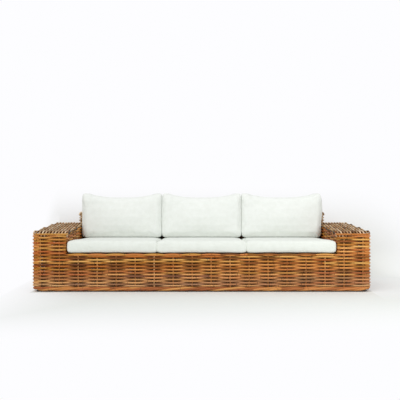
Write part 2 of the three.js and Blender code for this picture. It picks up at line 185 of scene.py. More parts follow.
def ramp(tree, source, stops):
    made = node(tree, "ShaderNodeValToRGB", links={"Fac": source})
    elements = made.color_ramp.elements
    while len(elements) < len(stops):
        elements.new(0.5)
    for element, (position, colour) in zip(elements, stops):
        element.position = position
        element.color = linear(colour)
    return made.outputs["Color"]


def fibres(tree, where, scale, detail, roughness):
    settings = {"Scale": scale, "Detail": detail, "Roughness": roughness}
    return node(tree, "ShaderNodeTexNoise", settings, {"Vector": where}).outputs["Fac"]


def relief(tree, shader, height, strength, depth):
    bump = node(tree, "ShaderNodeBump", {"Strength": strength, "Distance": depth}, {"Height": height})
    tree.links.new(bump.outputs["Normal"], shader.inputs["Normal"])


def parts(tree, vector):
    return node(tree, "ShaderNodeSeparateXYZ", links={"Vector": vector}).outputs


backdropSettings = {
    "wallGap": 0.2,  # from the sofa's rear to the wall
    "sweep": 0.28,  # radius between floor and wall
    "sweepSteps": 12,
    "half": 12,
    "near": -14,
    "top": 9,
    "colour": "#e5e8e5",
    "plain": "#fdfdff",
    "fadeLow": (0.22, 1.8, 1),  # metres from the sofa's box to plain white: left, front, under
    "fadeHigh": (1.0, 5, 0.9),  # right, rear and up
    "fade": (0.2, 1.0),  # shares of those distances between which it fades
    "leftLit": (-0.8, -1.8),  # x where the floor begins to brighten, and where it is plain
    "frontEdge": 0.06,
    "sideEdge": 0.02,
    "rightLit": 0.35,  # share of plain white on the floor to the right
    "rightEnd": (0.6, 0.3),
    "rightFront": 0.5,
    "floorTop": 0.004,  # what stands higher is the wall
}


def makeBackdrop(settings):
    # A white floor that sweeps up into a wall: the soft shadow near the sofa, plain white further off.
    # Only the view sees the wall, and only from its front.
    wall, radius, steps = cadHigh.y + settings["wallGap"], settings["sweep"], settings["sweepSteps"]
    turns = [pi / 2 * i / steps for i in range(steps + 1)]
    line = [(wall - radius + radius * sin(turn), radius * (1 - cos(turn))) for turn in turns]
    line = [(settings["near"], 0.0)] + line + [(wall, settings["top"])]
    mesh = bpy.data.meshes.new("backdrop")
    with editing(mesh) as bm:
        bmesh.ops.create_grid(bm, x_segments=1, y_segments=len(line) - 1, size=1)
        for vert in bm.verts:
            y, z = line[round((vert.co.y + 1) / 2 * (len(line) - 1))]
            vert.co = (vert.co.x * settings["half"], y, z)
    mesh.shade_smooth()
    backdrop = addObject("backdrop", mesh)
    material, tree, shader = newMaterial("backdropPaintedWhite", {
        "Base Color": linear(settings["colour"]), "Roughness": 1.0, "Specular IOR Level": 0.0})
    where = node(tree, "ShaderNodeTexCoord").outputs["Object"]
    apart = []
    for edge, reach, way in ((cadLow, settings["fadeLow"], -1), (cadHigh, settings["fadeHigh"], 1)):
        offset = [-way * place / far for place, far in zip((edge.x, edge.y, 0), reach)]
        apart.append(vectorCalc(tree, "MULTIPLY_ADD", where, [way / far for far in reach], offset))
    apart = vectorCalc(tree, "MAXIMUM", vectorCalc(tree, "MAXIMUM", *apart), (0, 0, 0))
    fade = smoothStep(tree, vectorCalc(tree, "LENGTH", apart), *settings["fade"])

    # the floor is brighter to the left, in front of the sofa and beside it, and a little to its right
    place = parts(tree, where)

    def step(axis, *ends):
        return smoothStep(tree, place[axis], *ends)

    front = step("Y", cadLow.y, cadLow.y - settings["frontEdge"])
    free = calc(tree, "MAXIMUM", front, step("X", cadLow.x, cadLow.x - settings["sideEdge"]))
    left = calc(tree, "MULTIPLY", free, step("X", *settings["leftLit"]))
    right = calc(tree, "MULTIPLY", step("Y", *settings["rightEnd"]),
                 step("Y", cadLow.y - settings["rightFront"], cadLow.y))
    right = calc(tree, "MULTIPLY", right,
                 step("X", cadHigh.x, cadHigh.x + settings["sideEdge"], settings["rightLit"]))
    lit = calc(tree, "MAXIMUM", fade, calc(tree, "MAXIMUM", left, right))
    seen = node(tree, "ShaderNodeLightPath").outputs["Is Camera Ray"]
    amount = calc(tree, "MULTIPLY", seen, lit)
    glow = node(tree, "ShaderNodeEmission", {"Color": linear(settings["plain"]), "Strength": 1})
    mix = node(tree, "ShaderNodeMixShader", links={0: amount, 1: shader.outputs[0], 2: glow.outputs[0]})
    above = calc(tree, "GREATER_THAN", place["Z"], settings["floorTop"])
    behind = node(tree, "ShaderNodeNewGeometry").outputs["Backfacing"]
    unseen = calc(tree, "MAXIMUM", calc(tree, "SUBTRACT", 1.0, seen), behind)
    unseen = calc(tree, "MULTIPLY", unseen, above)
    clear = node(tree, "ShaderNodeBsdfTransparent")
    shown = node(tree, "ShaderNodeMixShader", links={0: unseen, 1: mix.outputs[0], 2: clear.outputs[0]})
    tree.links.new(shown.outputs[0], tree.nodes["Material Output"].inputs["Surface"])
    mesh.materials.append(material)


makeBackdrop(backdropSettings)

lightSettings = {
    "ambient": 0.665,
    "keyFrom": (-0.4, -0.6, 0.95),  # soft window light from the left
    "keyStrength": 1.18,
    "keySpread": 45,
    "fillPlace": (2.3, -3.4, 1.5),
    "fillAim": (0, 0, 0.4),
    "fillWatts": 30,
    "fillSize": 1.6,
}


def makeLights(settings):
    scene = bpy.context.scene
    world = bpy.data.worlds.new("studio")
    world.use_nodes = True
    scene.world = world
    tree = world.node_tree
    tree.nodes.clear()
    path = node(tree, "ShaderNodeLightPath").outputs
    around = node(tree, "ShaderNodeBackground", {"Color": (1, 1, 1, 1), "Strength": settings["ambient"]})
    plain = linear(backdropSettings["plain"])
    behind = node(tree, "ShaderNodeBackground", {"Color": plain, "Strength": 1})
    seen = calc(tree, "MAXIMUM", path["Is Camera Ray"], path["Is Glossy Ray"])
    seen = calc(tree, "MAXIMUM", seen, path["Is Transmission Ray"])
    mix = node(tree, "ShaderNodeMixShader", links={0: seen, 1: around.outputs[0], 2: behind.outputs[0]})
    node(tree, "ShaderNodeOutputWorld", links={"Surface": mix.outputs[0]})
    key = addObject("key", bpy.data.lights.new("key", "SUN"))
    key.data.energy = settings["keyStrength"]
    key.data.angle = radians(settings["keySpread"])
    key.rotation_euler = Vector(settings["keyFrom"]).to_track_quat("Z", "Y").to_euler()
    fill = addObject("fill", bpy.data.lights.new("fill", "AREA"))
    fill.data.shape = "DISK"
    fill.data.size = settings["fillSize"]
    fill.data.energy = settings["fillWatts"]
    fill.location = settings["fillPlace"]
    aim = Vector(settings["fillPlace"]) - Vector(settings["fillAim"])
    fill.rotation_euler = aim.to_track_quat("Z", "Y").to_euler()
    scene.view_settings.view_transform = "Standard"


makeLights(lightSettings)
say("camera, backdrop and lights")


# Materials

rattanGrain = {
    "streaks": (90, 3.4, 6.0, 0.65),  # length in mm, turns across, detail and roughness
    "patches": (420, 0.6, 2.0, 0.5),
    "jointMm": 270,
    "jointShare": 0.02,
    "jointDark": 0.6,
    "wornFrom": 0.03,
    "reliefStrength": 0.3,
    "reliefDepth": 0.8 * mm,
}


def rattanMaterial(name, golden, reddish, jointColour, roughness, aged=None,
                   recess=("#3a1f0a", 0.76, 0.42)):
    # Peeled rattan: every rod has a tone of its own, between golden and reddish, with fine lengthwise
    # grain and a dark ring at each growth joint. aged is (colour, height, share) for wear near the
    # floor; recess is (colour, share, start) for the shade where a strand passes behind its stakes.
    material, tree, shader = newMaterial(name, {"Specular IOR Level": 0.3})
    attributes = {key: node(tree, "ShaderNodeAttribute", {"attribute_name": key}).outputs
                  for key in ("tone", "hue", "sunk", "run")}
    run = attributes["run"]["Vector"]  # x along, y and z across the strand
    grain = []
    for length, across, detail, rough in (rattanGrain["streaks"], rattanGrain["patches"]):
        scaled = vectorCalc(tree, "MULTIPLY", run, (1000 / length, across, across))
        grain.append(fibres(tree, scaled, 1.0, detail, rough))
    streaks, patches = grain
    level = calc(tree, "MULTIPLY_ADD", streaks, 0.5, attributes["tone"]["Fac"])
    level = calc(tree, "MULTIPLY_ADD", patches, 0.5, level)
    level = spread(tree, level, {"From Min": 0.5, "From Max": 1.5})
    colours = [ramp(tree, level, list(zip((0.0, 0.5, 1.0), palette))) for palette in (golden, reddish)]
    mixed = tint(tree, attributes["hue"]["Fac"], *colours)
    if aged:
        height = parts(tree, node(tree, "ShaderNodeTexCoord").outputs["Object"])["Z"]
        worn = {"From Min": aged[1], "From Max": rattanGrain["wornFrom"], "To Max": aged[2]}
        worn = calc(tree, "MULTIPLY", spread(tree, height, worn), patches)
        mixed = tint(tree, worn, mixed, aged[0])
    # painted shade: the colour darkens where a strand passes behind its stakes
    paintedShade = {"From Min": recess[2], "From Max": 0.9, "To Max": recess[1]}
    mixed = tint(tree, spread(tree, attributes["sunk"]["Fac"], paintedShade), mixed, recess[0])
    joint = calc(tree, "MULTIPLY", parts(tree, run)["X"], 1000 / rattanGrain["jointMm"])
    joint = calc(tree, "LESS_THAN", calc(tree, "FRACT", joint), rattanGrain["jointShare"])
    joint = calc(tree, "MULTIPLY", joint, rattanGrain["jointDark"])
    mixed = tint(tree, joint, mixed, jointColour)
    tree.links.new(mixed, shader.inputs["Base Color"])
    rough = spread(tree, streaks, {"To Min": roughness - 0.1, "To Max": roughness + 0.12})
    tree.links.new(rough, shader.inputs["Roughness"])
    relief(tree, shader, streaks, rattanGrain["reliefStrength"], rattanGrain["reliefDepth"])
    return material


def poleMaterial(name, dark, light, roughness):
    # Frame pole, webbing and glides: object coordinates
    material, tree, shader = newMaterial(name, {"Roughness": roughness})
    grain = fibres(tree, node(tree, "ShaderNodeTexCoord").outputs["Object"], 38.0, 6.0, 0.6)
    tree.links.new(ramp(tree, grain, ((0.25, dark), (0.75, light))), shader.inputs["Base Color"])
    relief(tree, shader, grain, 0.2, mm)
    return material


# peeled rattan, oiled on the walls and paler on the stakes; the tops' paler, greyer colours are a painted
# sheen
rattan = rattanMaterial(
    "rattanPeeledOiled", ("#6b4310", "#bc7d28", "#e4b161"), ("#5d300d", "#b45d20", "#dc914c"),
    "#4d2a10", 0.5, ("#a98970", 0.2, 1.0))
stakeRattan = rattanMaterial(
    "rattanStakePale", ("#a06a30", "#cf9755", "#ecc38a"), ("#935629", "#c07f4b", "#e2ad7a"),
    "#5b3a1d", 0.55)
# the tops' recess colour is a deep painted shade in the dips between the cross rods
rattanTop = rattanMaterial(
    "rattanTopPaintedSheen", ("#735732", "#c6a67c", "#f2e2c6"), ("#664428", "#b99169", "#e6c9a8"),
    "#54402b", 0.65, recess=("#291d13", 0.95, 0.05))
rattanBorder = rattanMaterial(
    "rattanThickPole", ("#8e4d16", "#be7830", "#d69b50"), ("#823a12", "#af5c25", "#cd8545"),
    "#5c3217", 0.5, ("#a07a58", 0.2, 0.3))
deckCane = poleMaterial("caneWebbingPaintedShade", "#2e2116", "#4a3623", 0.7)  # split cane, darkened as painted shade for the gap under the cushions
framePole = poleMaterial("rattanRawPole", "#8d6536", "#c39b66", 0.65)  # unpeeled pole, matt
glidePlastic = poleMaterial("nylonMouldedDark", "#2c2b2a", "#454341", 0.5)  # moulded nylon, satin

clothSettings = {
    "threadMm": 2.4,  # drawn coarser than real threads, so that they still show
    "canvasOffWhite": ("#e6e9e4", "#ebeeea"),
    "canvasOffWhiteSeatShade": ("#dfe3dc", "#e4e8e2"),  # a darker copy for the seats, its darkness painted shade
    "finish": {"Roughness": 0.92, "Specular IOR Level": 0.15,
               "Sheen Weight": 0.12, "Sheen Roughness": 0.5},
}


def clothMaterial(name):
    # Off-white polyester canvas, plain weave: matt, faint slubs
    material, tree, shader = newMaterial(name, clothSettings["finish"])
    where = node(tree, "ShaderNodeTexCoord").outputs["Object"]
    scale = 1000 / clothSettings["threadMm"] / tau
    waves = [node(tree, "ShaderNodeTexWave", {
        "wave_type": "BANDS", "bands_direction": axis, "Scale": scale, "Distortion": 0.6, "Detail": 1.0,
    }, {"Vector": where}).outputs["Fac"] for axis in ("X", "Z")]
    slub = fibres(tree, where, 24.0, 4.0, 0.55)
    shade, colour = clothSettings[name]
    tree.links.new(ramp(tree, slub, ((0.3, shade), (0.65, colour))), shader.inputs["Base Color"])
    height = calc(tree, "MULTIPLY_ADD", slub, 0.3, calc(tree, "MULTIPLY", *waves))
    relief(tree, shader, height, 0.18, 0.6 * mm)
    return material


canvas = {"back": clothMaterial("canvasOffWhite"), "seat": clothMaterial("canvasOffWhiteSeatShade")}
say("materials")


# Woven strands

weave = {
    "strandRadius": 7.55 * mm,
    "stakeRadius": 5.2 * mm,
    "swing": 9.0 * mm,  # of a strand to either side of its stakes
    "wall": 37 * mm,
    "stakePitch": 157 * mm,
    "coursePitch": 13.8 * mm,
    "step": 26 * mm,
    "cornerRadius": 45 * mm,
    "cornerSwing": (1.2, 0.4),  # a strand stands out at a corner, and more in every other course
    "wobble": 0.9 * mm,
    "wobblesPerMetre": 9,
    "thinner": 0.03,  # share by which a strand thins behind a stake
    "thinnest": 0.97,  # share of the radius; the thickest strand has a tenth more
    "rodShortest": 0.5,
    "toneSpread": 0.24,
    "markSpread": 40,
    "baseDip": 3.5 * mm,  # of the lowest strand, up and down over the border
    "baseTone": 0.25,
    "upperTone": 0.2,
    "headRoom": 24 * mm,  # from the highest course to an arm's top
    "stakeRoom": 28 * mm,  # from a stake's head to an arm's top
    "stakeFoot": 12 * mm,
    "innerTurn": 14 * mm,  # radius of an arm front's inner corner
    "leastRun": 0.1,
}
swing = weave["swing"]
inset = weave["wall"] / 2  # from a wall's face to the line of its stakes


def sunk(point):
    # 0 where a strand lies in front of its stake, 1 where it is behind, from a point's fourth value
    return 0.0 if len(point) < 4 else (1 - point[3]) / 2


def tubeMesh(name, lines, radius, resolution=1, closed=False):
    # round tubes along lists of points, each point with its share of the radius
    data = bpy.data.curves.new(name, "CURVE")
    data.dimensions = "3D"
    data.bevel_depth = radius
    data.bevel_resolution = resolution
    for line in lines:
        spline = data.splines.new("POLY")
        spline.points.add(len(line) - 1)
        spline.use_cyclic_u = closed
        for point, (place, share) in zip(spline.points, line):
            point.co = (*place.xyz, 1)
            point.radius = share
    curve = addObject(name + "Curve", data)
    mesh = settled(curve)
    bpy.data.objects.remove(curve)
    bpy.data.curves.remove(data)
    mesh.name = name
    return mesh


def coat(mesh, material):
    mesh.materials.clear()
    mesh.materials.append(material)


def strandPiece(name, strands, radius, material, seed, resolution=1, tones=None):
    # One mesh of round strands, each a list of points. A strand is made up of rods 0.5 to 1.5 m long,
    # each with a tone and hue of its own.
    chance = random.Random(seed)
    lines = []
    for points in strands:
        size = weave["thinnest"] + 0.1 * chance.random()
        lines.append([(p, size * (1 - weave["thinner"] * sunk(p))) for p in points])
    mesh = tubeMesh(name, lines, radius, resolution)
    sides = 4 + 2 * resolution
    values = {"tone": [], "hue": [], "sunk": [], "run": []}
    for i, points in enumerate(strands):
        shift = tones[i] if tones else 0.0
        along = chance.random() * 3
        rodEnd, last = along, points[0]
        for p in points:
            along += (p.xyz - last.xyz).length
            last = p
            if along >= rodEnd:
                rodEnd = along + weave["rodShortest"] + chance.random()
                mark = chance.random() * weave["markSpread"]
                rodTone = 0.5 + shift + weave["toneSpread"] * chance.gauss(0, 1)
                rodTone = min(1.0, max(0.0, rodTone))
                rodHue = chance.random()
            for side in range(sides):
                turn = tau * side / sides
                values["tone"].append(rodTone)
                values["hue"].append(rodHue)
                values["sunk"].append(sunk(p))
                values["run"] += (along, cos(turn) * 0.5 + mark, sin(turn) * 0.5 + mark * 1.7)
    for key, numbers in values.items():
        kind, field = ("FLOAT_VECTOR", "vector") if key == "run" else ("FLOAT", "value")
        mesh.attributes.new(key, kind, "POINT").data.foreach_set(field, numbers)
    with editing(mesh) as bm:
        bmesh.ops.holes_fill(bm, edges=[edge for edge in bm.edges if edge.is_boundary])
        bmesh.ops.recalc_face_normals(bm, faces=bm.faces)
    coat(mesh, material)
    mesh.shade_smooth()
    piece = addObject(name, mesh)
    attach(piece, "body")
    return piece


class Route:
    # A line in plan, made of straight runs and quarter turns, with the places of its stakes

    def __init__(self):
        self.points = []
        self.lengths = [0.0]
        self.stakes = []

    def add(self, point):
        if self.points:
            self.lengths.append(self.lengths[-1] + (point - self.points[-1]).length)
        self.points.append(point)

    def stake(self, side):
        self.stakes.append((self.lengths[-1], side))

    def at(self, run):
        # the place at a length along the line, and the way outward there
        high = min(max(bisect_right(self.lengths, run), 1), len(self.lengths) - 1)
        start, end = self.lengths[high - 1], self.lengths[high]
        a, b = self.points[high - 1], self.points[high]
        way = (b - a).normalized()
        return a.lerp(b, (run - start) / (end - start or 1)), Vector((way.y, -way.x))


def straight(route, start, end, stakes=()):
    # a run with a stake at each given share of it
    route.add(start)
    for share, side in stakes:
        route.add(start.lerp(end, share))
        route.stake(side)
    route.add(end)


def quarter(route, centre, radius, startAngle, withStake=True, steps=6):
    for i in range(steps + 1):
        angle = startAngle + pi / 2 * i / steps
        route.add(centre + Vector((cos(angle), sin(angle))) * radius)
        if withStake and i in (1, steps - 1):
            route.stake(2)


def stakeShares(start, end, margin):
    # Shares of a run at which stakes stand, at half pitches from the middle of the sofa, and the side
    # (1 outside, -1 inside) on which an even course passes each
    pitch = weave["stakePitch"]
    low, high = sorted((start, end))
    first, last = ceil((low + margin) / pitch - 0.5), floor((high - margin) / pitch - 0.5)
    return sorted((((k + 0.5) * pitch - start) / (end - start), -1 if k % 2 else 1)
                  for k in range(first, last + 1))


def passage(stops, counts, first=0):
    # steps of a strand between stops of (run, side), gently from side to side
    for (a, here), (b, there) in zip(stops, stops[1:]):
        count = counts or max(2, round((b - a) / weave["step"]))
        for i in range(first, count + first):
            ease = (1 - cos(pi * i / count)) / 2
            yield a + (b - a) * i / count, here + (there - here) * ease


def wobble(run, drift, lane):
    return noise.noise(Vector((run * weave["wobblesPerMetre"], drift, lane))) * weave["wobble"]


def wovenLine(route, level, course, chance, start=0.0, end=None):
    # one strand along a route, outside and inside its stakes by turns
    end = route.lengths[-1] if end is None else end
    flip = -1 if course % 2 else 1
    mean, more = weave["cornerSwing"]  # side 2 marks a corner
    inner = [(run, side * flip if side < 2 else mean + more * flip) for run, side in route.stakes
             if start + 0.01 < run < end - 0.01]
    drift = chance.random() * 50
    points = []
    for run, way in passage([(start, 0)] + inner + [(end, 0)], None):
        place, out = route.at(run)
        shift = place + out * (way * swing)
        points.append(Vector((*shift, level(place, way) + wobble(run, drift, 0.3), way)))
    place = route.at(end)[0]
    points.append(Vector((*place, level(place, 0), 0)))
    return points


def shortCourses(route, low, pitch, count, chance, head, probes):
    # level courses, each as far as the wall's sloping head is high enough for it
    probe = [route.lengths[-1] * i / probes for i in range(probes + 1)]
    rows = []
    for course in range(count):
        z = low + (course + 0.5) * pitch
        inside = [run for run in probe if head(route.at(run)[0]) > z + 0.3 * pitch]
        if inside[-1] - inside[0] > weave["leastRun"]:
            rows.append(wovenLine(route, lambda p, way: z, course, chance, inside[0], inside[-1]))
    return rows


halfWidth = cadHigh.x
frontY, rearY = cadLow.y, cadHigh.y
armInner = -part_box("left_arm_front_weave")[1].x
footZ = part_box("front_weave")[0].z
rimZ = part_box("front_weave")[1].z
bendX, bendY = halfWidth - weave["cornerRadius"], rearY - weave["cornerRadius"]
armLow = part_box("left_arm_front_weave")[1].z + weave["wall"]
armSlope = (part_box("back_weave")[1].z + weave["wall"] - armLow) / (bendY - frontY)
corners = {  # in plan: the centre of each, and the angle at which a route comes to it
    "leftRear": (-bendX, bendY, pi / 2),
    "leftFront": (-bendX, -bendY, pi),
    "rightFront": (bendX, -bendY, -pi / 2),
    "rightRear": (bendX, bendY, 0),
}


def armTop(y):
    # height of an arm's top face, which rises towards the back
    return armLow + armSlope * (y - frontY)


def runTo(route, start, end, staked=True, margin=0.012):
    along = 0 if abs(end.x - start.x) > abs(end.y - start.y) else 1
    straight(route, start, end, stakeShares(start[along], end[along], margin) if staked else ())


def roundCorners(route, start, names, inward, staked=True):
    # straight runs and named corners in turn, set inward from the outer faces; gives the end
    bend = weave["cornerRadius"] - inward
    for name in names:
        x, y, angle = corners[name]
        first, last = (Vector((x + cos(turn) * bend, y + sin(turn) * bend))
                       for turn in (angle, angle + pi / 2))
        runTo(route, start, first, staked)
        quarter(route, Vector((x, y)), bend, angle, staked)
        start = last
    return start


def wholeRound(inward, staked=True):
    # round the body from the middle of the back, over the left side, and back again
    route = Route()
    start = Vector((0, rearY - inward))
    last = roundCorners(route, start, corners, inward, staked)
    runTo(route, last, start, staked)
    return route


def upperRoute():
    # from the right arm's inner corner, over the right side, the back and the left side
    x, y, turn = armInner + inset, frontY + inset, weave["innerTurn"]
    route = Route()
    straight(route, Vector((x, y + 2 * turn)), Vector((x, y + turn)))
    quarter(route, Vector((x + turn, y + turn)), turn, pi, False)
    order = ("rightFront", "rightRear", "leftRear", "leftFront")
    last = roundCorners(route, Vector((x + turn, y)), order, inset)
    runTo(route, last, Vector((-x - turn, y)))
    quarter(route, Vector((-x - turn, y + turn)), turn, -pi / 2, False)
    straight(route, Vector((-x, y + turn)), Vector((-x, y + 2 * turn)))
    return route


def coursesIn(height):
    return round(height / weave["coursePitch"])


def weaveBody():
    chance = random.Random(11)
    base = wholeRound(inset)
    courses = coursesIn(rimZ - footZ)
    pitch = (rimZ - footZ) / courses
    rows = []
    for course in range(courses):
        z = footZ + (course + 0.5) * pitch
        dip = 0.0 if course else weave["baseDip"]
        rows.append(wovenLine(base, lambda p, way: z + dip * way, course, chance))
    tones = [weave["baseTone"]] + [0.0] * (courses - 1)
    lower = strandPiece("weaveBase", rows, weave["strandRadius"], rattan, 21, tones=tones)
    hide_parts("front_weave")

    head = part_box("back_weave")[1].z
    more = coursesIn(head - rimZ)
    rows = shortCourses(upperRoute(), rimZ, (head - rimZ) / more, more, chance,
                        lambda p: armTop(p.y) - weave["headRoom"], 900)
    tones = [weave["upperTone"]] * len(rows)
    piece = strandPiece("weaveUpper", rows, weave["strandRadius"], rattan, 22, tones=tones)
    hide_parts("back_weave", "left_side_weave", "right_side_weave",
                "left_arm_front_weave", "right_arm_front_weave")

    posts = []
    for run, way in base.stakes:
        place = base.at(run)[0]
        underSeat = abs(place.x) < armInner and place.y < 0
        top = rimZ + 2 * mm if underSeat else armTop(place.y) - weave["stakeRoom"]
        heights = (footZ - weave["stakeFoot"], (footZ + top) / 2, top)
        posts.append([Vector((*place, z)) for z in heights])
    stakes = strandPiece("stakes", posts, weave["stakeRadius"], stakeRattan, 23)


weaveBody()

rimSettings = {
    "radius": 7 * mm,
    "rise": 5 * mm,
    "out": 3.5 * mm,
    "height": -6 * mm,
    "set": 11 * mm,
    "ends": 6 * mm,
    "steps": 86,  # in half the width
}


def weaveRim(settings):
    # a pair of strands lies along the seat's front edge, each up and in front at every other stake
    strands = []
    for way in (1, -1):
        points = []
        for i in range(-settings["steps"], settings["steps"] + 1):
            x = i / settings["steps"] * (armInner - settings["ends"])
            up = -cos(pi * (x / weave["stakePitch"] - 0.5)) * way
            points.append(Vector((x, frontY + settings["set"] - up * settings["out"],
                                  rimZ + settings["height"] + settings["rise"] * up, 0.55 + 0.45 * up)))
        strands.append(points)
    piece = strandPiece("seatRim", strands, settings["radius"], rattan, 26, tones=[0.1, 0.0])


weaveRim(rimSettings)
say("body weave")

armTopSettings = {
    "pitch": 13 * mm,
    "radius": 6.1 * mm,
    "dip": 17 * mm,  # of a strand under a cross rod
    "crest": 0.7,  # power that makes the crests short and the dips long
    "ends": (0.3, 0.7),  # shares of its dip by which a strand that ends low is shorter, front and rear
    "bend": 44 * mm,  # over the ends
    "drop": 22 * mm,
    "hang": 22 * mm,  # down the ends, behind the edge strand
    "crown": 10 * mm,  # the middle of the top stands above a straight slope, most near the front
    "crownFrom": 0.06,  # share of the depth by which the crown is full
    "rodMargin": 0.05,
    "rodEnd": 4 * mm,
    "edgeRadius": 6.4 * mm,
    "edgeTuck": 3 * mm,
    "edgeUnder": 15 * mm,
    "edgeStart": ((45 * mm, 4 * mm), (16 * mm, 0)),  # behind the front, and up
    "edgeTurn": 14 * mm,
    "edgeTail": 20 * mm,
}


def crownAt(y, settings):
    share = (y - frontY) / (rearY - frontY)
    return settings["crown"] * min(1.0, share / settings["crownFrom"]) * max(0.0, 1 - share) ** 0.8


def overEdge(edge, top, inward, drop, steps):
    # places (along, height) of a strand that comes up at an edge and bends over it
    turns = [pi / 2 * i / steps for i in range(steps + 1)]
    return [(edge + inward * (1 - cos(turn)), top - drop * (1 - sin(turn))) for turn in turns]


def topStrand(x, course, chance, settings, frontEnd, rearEnd):
    # one strand from front to back, over and under the cross rods, bent down at both ends
    radius, dip, bend, drop = (settings[key] for key in ("radius", "dip", "bend", "drop"))
    flip = -1 if course % 2 else 1
    shares = stakeShares(frontY, rearY, settings["rodMargin"])
    rods = [(frontY + share * (rearY - frontY), side * flip) for share, side in shares]
    first, last = rods[0][1], rods[-1][1]
    frontShare, rearShare = settings["ends"]
    start = frontEnd + 2 * settings["edgeRadius"] - settings["edgeTuck"] + radius
    start += dip * (1 - first) / 2 * frontShare
    end = rearEnd - radius - dip * (1 - last) / 2 * rearShare

    def surface(y, way):
        return armTop(y) + crownAt(y, settings) - radius - dip * (1 - way) / 2

    frontTop, rearTop = surface(start + bend, first), surface(end - bend, last)
    points = [Vector((x, start + 3 * mm, frontTop - settings["hang"]))]
    points += [Vector((x, y, z)) for y, z in overEdge(start, frontTop, bend, drop, 4)[:-1]]
    drift = chance.random() * 40
    for y, way in passage([(start + bend, first)] + rods + [(end - bend, last)], None):
        way = 1 - 2 * ((1 - way) / 2) ** settings["crest"]
        points.append(Vector((x + wobble(y, drift, 0.7) * 1.5, y, surface(y, way), way)))
    points += [Vector((x, y, z)) for y, z in reversed(overEdge(end, rearTop, -bend, drop, 4))]
    points.append(Vector((x, end - 3 * mm, rearTop - settings["hang"])))
    return points


def armEdge(hand, settings):
    # a strand along an arm's front edge, over the ends of the others, and round the corner
    thick, turn = settings["edgeRadius"], settings["edgeTurn"]
    bend = weave["cornerRadius"] - thick
    z = armTop(frontY) - settings["edgeUnder"]
    edge = [Vector((hand * (armInner + thick), frontY + back, z + up))
            for back, up in settings["edgeStart"]]
    for i in range(9):
        x = armInner + turn + (bendX - armInner - turn) * i / 8
        edge.append(Vector((hand * x, frontY + thick, z)))
    for i in range(1, 10):
        angle = pi / 2 * min(i, 6) / 6
        y = -bendY - bend * cos(angle) + max(0, i - 6) * settings["edgeTail"]
        edge.append(Vector((hand * (bendX + bend * sin(angle)), y, z)))
    return edge


def weaveArmTops(settings):
    radius = weave["cornerRadius"]
    count = round((halfWidth - armInner) / settings["pitch"])
    pitch = (halfWidth - armInner) / count
    for name, hand, seed in (("left", -1, 31), ("right", 1, 41)):
        chance = random.Random(seed)
        strands = []
        for i in range(count):
            x = hand * (armInner + (i + 0.5) * pitch)
            past = max(0.0, abs(x) - bendX)  # the round corners of the body draw the outer strands in
            keep = radius - sqrt(max(0.0, radius * radius - past * past))
            strands.append(topStrand(x, i, chance, settings, frontY + keep, rearY - keep))
        piece = strandPiece(name + "ArmTop", strands, settings["radius"], rattanTop, seed + 1)
        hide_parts(name + "_arm_top_weave")
        rods = []
        for share, side in stakeShares(frontY, rearY, settings["rodMargin"]):
            y = frontY + share * (rearY - frontY)
            z = armTop(y) + crownAt(y, settings) - settings["radius"] - settings["dip"] / 2
            reach = (armInner + settings["rodEnd"], halfWidth - settings["rodEnd"])
            rods.append([Vector((hand * x, y, z)) for x in reach])
        rodPiece = strandPiece(name + "ArmRods", rods, weave["stakeRadius"], rattan, seed + 2)
        edge = [armEdge(hand, settings)]
        edgePiece = strandPiece(name + "ArmEdge", edge, settings["edgeRadius"], rattan, seed + 5)


weaveArmTops(armTopSettings)
say("arm tops")


def weaveFlat(name, start, end, low, head, courses, seed, lean=0.0):
    # A flat wall between two plan points, seen from its outer side to the right of the way it runs.
    # head gives the height of its top; lean moves its top back.
    chance = random.Random(seed)
    route = Route()
    runTo(route, start, end, margin=0.02)
    pitch = (max(head(start), head(end)) - low) / courses

    def leant(x, y, z, *way):
        return Vector((x, y + lean * (z - low), z, *way))

    rows = shortCourses(route, low, pitch, courses, chance, head, 400)
    rows = [[leant(*p) for p in row] for row in rows]
    piece = strandPiece(name, rows, weave["strandRadius"], rattan, seed + 1)
    places = [route.at(run)[0] for run, way in route.stakes]
    posts = [[leant(*p, low), leant(*p, head(p))] for p in places]
    stakes = strandPiece(name + "Stakes", posts, weave["stakeRadius"], stakeRattan, seed + 2)
    return piece


def weaveInnerWalls():
    for name, hand, seed in (("left", -1, 51), ("right", 1, 61)):
        low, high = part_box(name + "_arm_inner_weave")
        ends = [Vector((hand * (armInner + inset), y)) for y in (low.y, high.y)]
        start, end = ends[::-hand]

        def head(p):
            return armTop(p.y) - armTopSettings["hang"]

        courses = coursesIn(max(head(start), head(end)) - low.z)
        piece = weaveFlat(name + "ArmInner", start, end, low.z, head, courses, seed)
        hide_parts(name + "_arm_inner_weave")
    low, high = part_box("back_face_weave")
    lean = (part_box("back_cap_weave")[0].y - low.y) / (high.z - low.z)
    ends = [Vector((x, low.y + inset)) for x in (low.x, high.x)]
    piece = weaveFlat("backFace", *ends, low.z, lambda p: high.z, coursesIn(high.z - low.z), 71, lean)
    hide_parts("back_face_weave")
    low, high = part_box("back_upper_weave")
    ends = [Vector((x, rearY - inset)) for x in (high.x, low.x)]
    piece = weaveFlat("backUpper", *ends, low.z, lambda p: high.z, coursesIn(high.z - low.z), 81)
    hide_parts("back_upper_weave")


weaveInnerWalls()
say("inner walls and back")

capSettings = {
    "strands": 7,
    "radius": 8.2 * mm,
    "bend": 22 * mm,
    "hang": 5 * mm,
    "rowPitch": 12.5 * mm,
    "rowUnder": 2 * mm,
    "rowEnd": 12 * mm,
    "rodMargin": 0.1,
    "rodGap": 4 * mm,  # at a rod's ends, and over it
    "rodShare": 0.9,  # of a stake's radius
    "legRadius": 6.4 * mm,
    "legPitch": 12.4 * mm,
    "legTurn": 16 * mm,
    "tooth": 9 * mm,  # by which every other loop of a leg stands out
}


